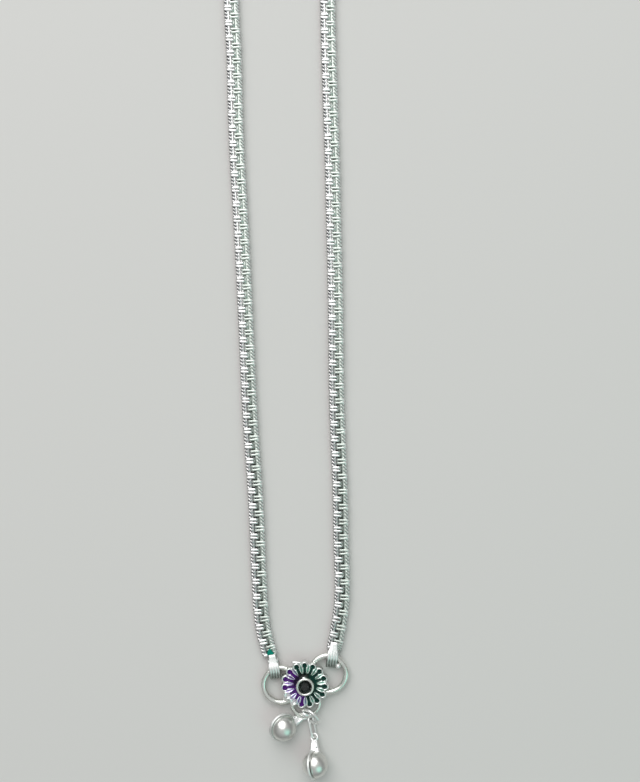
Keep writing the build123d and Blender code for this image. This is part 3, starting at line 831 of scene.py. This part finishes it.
# %% Directions of a bell
BELLS = {  # in mm: ball's middle, eye's middle; directions: across the seam, across the eye's legs
    "left": ((-3.7, -7.38, 2.22), (-0.26, -5.71, 0.57), (0.496, -0.178, 0.85), (1.81, -0.33, 0.01)),
    "right": ((1.71, -13.61, 2.48), (1.56, -9.33, 1.1), (0.92, 0.17, 0.36), (0.44, -0.24, 0.26)),
}
BALL_RADIUS, BALL_WALL = 2.2, 0.3
SEAM_GAP = 0.08  # half of the slit


def straight(vector, square_to=None):
    """A vector of length one, made square to another if one is given."""
    vector = np.array(vector, dtype=float)
    if square_to is not None:
        vector = vector - vector.dot(square_to) * square_to
    return vector / np.linalg.norm(vector)


def placed_points(middle, axes, local):
    """Points given along three directions from a middle, in metres."""
    return spots(*(np.array(middle) + np.asarray(local) @ np.array(axes)).T)


print({side: round(math.dist(*bell[:2]), 2) for side, bell in BELLS.items()}, "mm from ball to eye")

# %% Half balls
POLE = 0.04  # radians: a small flat face covers each pole


def arc(radius, start, end, count):
    return [(radius * math.cos(a), radius * math.sin(a)) for a in np.linspace(start, end, count)]


def half_ball(name, middle, axes, side, rim, around=168):
    """Half a ball and its turned-out rim, turned round the axis across the seam."""
    hollow = BALL_RADIUS - BALL_WALL
    profile = np.array(arc(BALL_RADIUS, POLE, math.acos(rim[0][0] / BALL_RADIUS), 26) + rim
                       + arc(hollow, math.acos(SEAM_GAP / hollow), POLE, 16))
    turn, index = np.meshgrid(full_turn(around), np.arange(len(profile)), indexing="ij")
    along, radius = side * profile[index, 0], profile[index, 1]
    local = np.stack([along, radius * np.cos(turn), radius * np.sin(turn)], axis=-1).reshape(-1, 3)
    faces = grid_faces(around, len(profile), "rows")
    ends = [i * len(profile) for i in range(around)]
    faces += [tuple(ends), tuple(i + len(profile) - 1 for i in reversed(ends))]
    if side < 0:
        faces = flipped(faces)
    # The wide half's turned-out rim is whitened as a painted highlight, and the narrow half's rim is darkened
    # as the painted shadow of the slit.
    turned_out = smoothstep(BALL_RADIUS - 0.02, BALL_RADIUS + 0.1, radius).ravel()
    return piece(name, placed_points(middle, axes, local), faces, bell_silver,
                 polish=turned_out * (side < 0), grime=0.8 * turned_out * (side > 0))


WIDE_RIM = [(0.44, 2.17), (0.50, 2.32), (0.49, 2.42), (0.44, 2.48), (0.36, 2.48), (0.26, 2.44), (0.15, 2.39),
            (SEAM_GAP, 2.34)]
NARROW_RIM = [(0.22, 2.20), (0.22, 2.27), (0.19, 2.31), (0.14, 2.32), (SEAM_GAP, 2.28)]


def seam_solder(name, middle, axes, spread=75, steps=60):
    """The strip that closes the seam on the neck's side."""
    section = [(-0.09, 1.95), (-0.09, 2.29), (0.0, 2.31), (0.09, 2.29), (0.09, 1.95)]
    local = [(x, r * math.sin(a), r * math.cos(a)) for a in np.radians(np.linspace(-spread, spread, steps))
             for x, r in section]
    faces = grid_faces(steps, len(section), "capped")
    return piece(name, placed_points(middle, axes, local), faces, bell_silver,
                 polish=np.zeros(len(local)), grime=np.full(len(local), 0.5))


# %% [markdown]
# The eye is a turn of wire whose two ends spread into legs down to the ball, and solder fills the space
# between the legs. A wire ring and one thick lofted web give that fan shape, turning a little on its way
# down, and the web keeps the small pit where the solder shrank.

# %% Neck and eye
def bell_neck(name, middle, axes, eye_height, shape, rows=26, columns=33):
    """Eye ring and soldered legs; local directions are across the legs, through them and up the neck."""
    eye_radius, wire, top_half, foot_half, twist, pit = shape
    turn, tube = np.meshgrid(full_turn(64), full_turn(20), indexing="ij")
    out = eye_radius + wire * np.cos(tube)
    ring = np.stack([out * np.cos(turn), wire * np.sin(tube), eye_height + out * np.sin(turn)], axis=-1)
    points = ring.reshape(-1, 3).tolist()
    faces = grid_faces(64, 20, "both")
    top, foot = eye_height - eye_radius + 0.12, BALL_RADIUS - 0.24
    start = len(points)
    for i in range(rows):
        down = i / (rows - 1)
        half = top_half + (foot_half - top_half) * down
        lie = np.sin(np.linspace(-math.pi / 2, math.pi / 2, columns))
        height = top + (foot - top) * down - 0.15 * lie ** 2 * down
        leg = np.exp(-((np.abs(lie) - 0.72) / 0.2) ** 2)
        thick = (0.20 + 0.06 * leg + 0.14 * down) * np.sqrt(1 - lie ** 2) ** 0.7
        thick = thick - 0.10 * np.exp(-((lie * half - pit[0]) ** 2 + (height - pit[1]) ** 2) / 0.012)
        lie = np.concatenate([lie, lie[-2:0:-1]]) * half
        thick = np.concatenate([thick, -thick[-2:0:-1]])
        height = np.concatenate([height, height[-2:0:-1]])
        angle = math.radians(twist) * float(smoothstep(0, 0.7, down))
        points += np.stack([lie * math.cos(angle) - thick * math.sin(angle),
                            lie * math.sin(angle) + thick * math.cos(angle), height], axis=-1).tolist()
    ring_count = 2 * columns - 2
    faces += grid_faces(rows, ring_count, "capped", start=start)
    points = np.array(points)
    # Darker round the pit.
    darkened = np.exp(-((points[:, 0] - pit[0]) ** 2 + (points[:, 2] - pit[1]) ** 2) / 0.015)
    return piece(name, placed_points(middle, axes, points), faces, neck_silver, grime=0.9 * darkened)


NECKS = {  # eye's radius and wire, half width at the top and at the foot, twist in degrees, pit across and up
    "left": (0.62, 0.2, 0.66, 0.95, 12.0, (-0.45, 2.65)),
    "right": (0.58, 0.19, 0.52, 0.98, 22.0, (0.36, 2.72)),
}
for side, (ball, eye, across_seam, across_legs) in BELLS.items():
    up = straight(np.array(eye) - np.array(ball))
    across = straight(across_seam, square_to=up)
    legs = straight(across_legs, square_to=up)
    seam_axes, neck_axes = (across, np.cross(up, across), up), (legs, np.cross(up, legs), up)
    wide = half_ball(f"bell_{side}_wide_half", ball, seam_axes, -1, WIDE_RIM)
    half_ball(f"bell_{side}_narrow_half", ball, seam_axes, 1, NARROW_RIM)
    seam_solder(f"bell_{side}_seam", ball, seam_axes)
    bell_neck(f"bell_{side}_neck", ball, neck_axes, math.dist(ball, eye), NECKS[side])
    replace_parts(wide, f"bell_{side}")

# %% [markdown]
# ## Jump ring and long link
# The jump ring hangs in the flower's lower ring and carries both bells: the left one by its eye, the right
# one through a long link. Each is a piece of round wire bent round a mandrel and soldered shut, so it is one
# closed tube, a little thicker where the solder closed it. They lie as loose links come to rest, leaning on
# one another.

# %% Bent loops of wire
def bent_loop(name, middle, lie, half_length, half_width, wire, joint, around=160, section=20):
    """A closed loop of round wire; `lie` is its heading, its dip and its roll about its length, and
    `joint` is where it was soldered, all in degrees."""
    heading, dip, roll = (math.radians(v) for v in lie)
    along = np.array([math.cos(heading) * math.cos(dip), math.sin(heading) * math.cos(dip), -math.sin(dip)])
    level = np.array([-math.sin(heading), math.cos(heading), 0])
    across = math.cos(roll) * level + math.sin(roll) * np.cross(along, level)
    square = np.cross(along, across)
    turn = full_turn(around)
    outline = [half_width * np.cos(turn) + (half_length - half_width) * np.tanh(8 * np.cos(turn)),
               half_width * np.sin(turn)]
    line = outline[0][:, None] * along + outline[1][:, None] * across + np.array(middle)
    ahead = np.roll(line, -1, axis=0) - np.roll(line, 1, axis=0)
    ahead /= np.linalg.norm(ahead, axis=1)[:, None]
    out = np.cross(ahead, square)
    from_joint = np.angle(np.exp(1j * (turn - math.radians(joint))))
    thick = wire * (1 + 0.3 * np.exp(-(from_joint / 0.16) ** 2))
    round_wire = full_turn(section)[None, :, None]
    round_wire = np.cos(round_wire) * out[:, None] + np.sin(round_wire) * square
    tube = line[:, None] + thick[:, None, None] * round_wire
    faces = flipped(grid_faces(around, section, "both"))
    return piece(name, spots(*tube.reshape(-1, 3).T), faces, ring_silver)


hung = bent_loop("jump_ring_wire", (0.92, -5.64, 1.64), (-43, 0, 55), half_length=1.65,
                 half_width=1.65, wire=0.24, joint=50)
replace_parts(hung, "jump_ring")
linked = bent_loop("bell_link_wire", (1.22, -7.66, 0.76), (-78, -5, 129), half_length=1.77,
                   half_width=0.59, wire=0.19, joint=90)
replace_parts(linked, "bell_link")

# %% [markdown]
# ## Dress the carried-over nodes
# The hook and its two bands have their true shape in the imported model, so they only need metal.

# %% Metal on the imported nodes
dress("end_loop_back_left", band_silver)
dress("end_loop_back_right", band_silver)
dress("clasp_hook", wire_silver)

# %% [markdown]
# ## Floor and light
# A plain pale floor and soft light. Polished silver shows only what is round it, so the room matters as
# much as the lamps: bright overhead, darker low down. Flat places then shine, and every round wire gets a
# bright middle with grey flanks.

# %% Floor
floor_mesh = bpy.data.meshes.new("floor")
floor_mesh.from_pydata([(-2, -2, 0), (2, -2, 0), (2, 2, 0), (-2, 2, 0)], [], [(0, 1, 2, 3)])
floor = new_object("floor", floor_mesh)
floor_paint, tree, paint = new_material("floor_paint")
give(tree, paint, Base_Color=(0.64, 0.62, 0.605, 1), Roughness=0.8)
floor_mesh.materials.append(floor_paint)
print("floor ready")

# %% Light
ROOM_LOW, ROOM_HIGH = (0.20, 0.20, 0.20, 1), (0.56, 0.57, 0.57, 1)
world = bpy.data.worlds.new("room")
bpy.context.scene.world = world
world.use_nodes = True
room = world.node_tree
direction = add(room, "ShaderNodeTexCoord").outputs["Generated"]
height = add(room, "ShaderNodeSeparateXYZ", Vector=direction).outputs["Z"]
shade = add(room, "ShaderNodeValToRGB", Fac=height)
low, high = shade.color_ramp.elements
low.position, low.color = 0.0, ROOM_LOW
high.position, high.color = 0.95, ROOM_HIGH
give(room, room.nodes["Background"], Color=shade.outputs["Color"])


def lamp(name, place, size, power, colour=(1, 1, 1)):
    """A round soft lamp that faces the flower end of the anklet."""
    light = bpy.data.lights.new(name, "AREA")
    light.shape = "ELLIPSE"
    light.size, light.size_y = size
    light.energy = power
    light.color = colour
    obj = new_object(name, light)
    obj.location = place
    aim = np.array(spot(0, 20)) - np.array(place)
    obj.rotation_euler = (math.atan2(math.hypot(aim[0], aim[1]), -aim[2]), 0, math.atan2(-aim[0], aim[1]))
    print(name, "shines with", power, "W")


lamp("key_lamp", place=(-0.14, 0.42, 0.50), size=(0.74, 0.88), power=3.9)
lamp("fill_lamp", place=(0.35, -0.33, 0.48), size=(0.50, 0.62), power=0.44, colour=(0.28, 1.0, 0.80))
bpy.context.scene.view_settings.view_transform = "Standard"
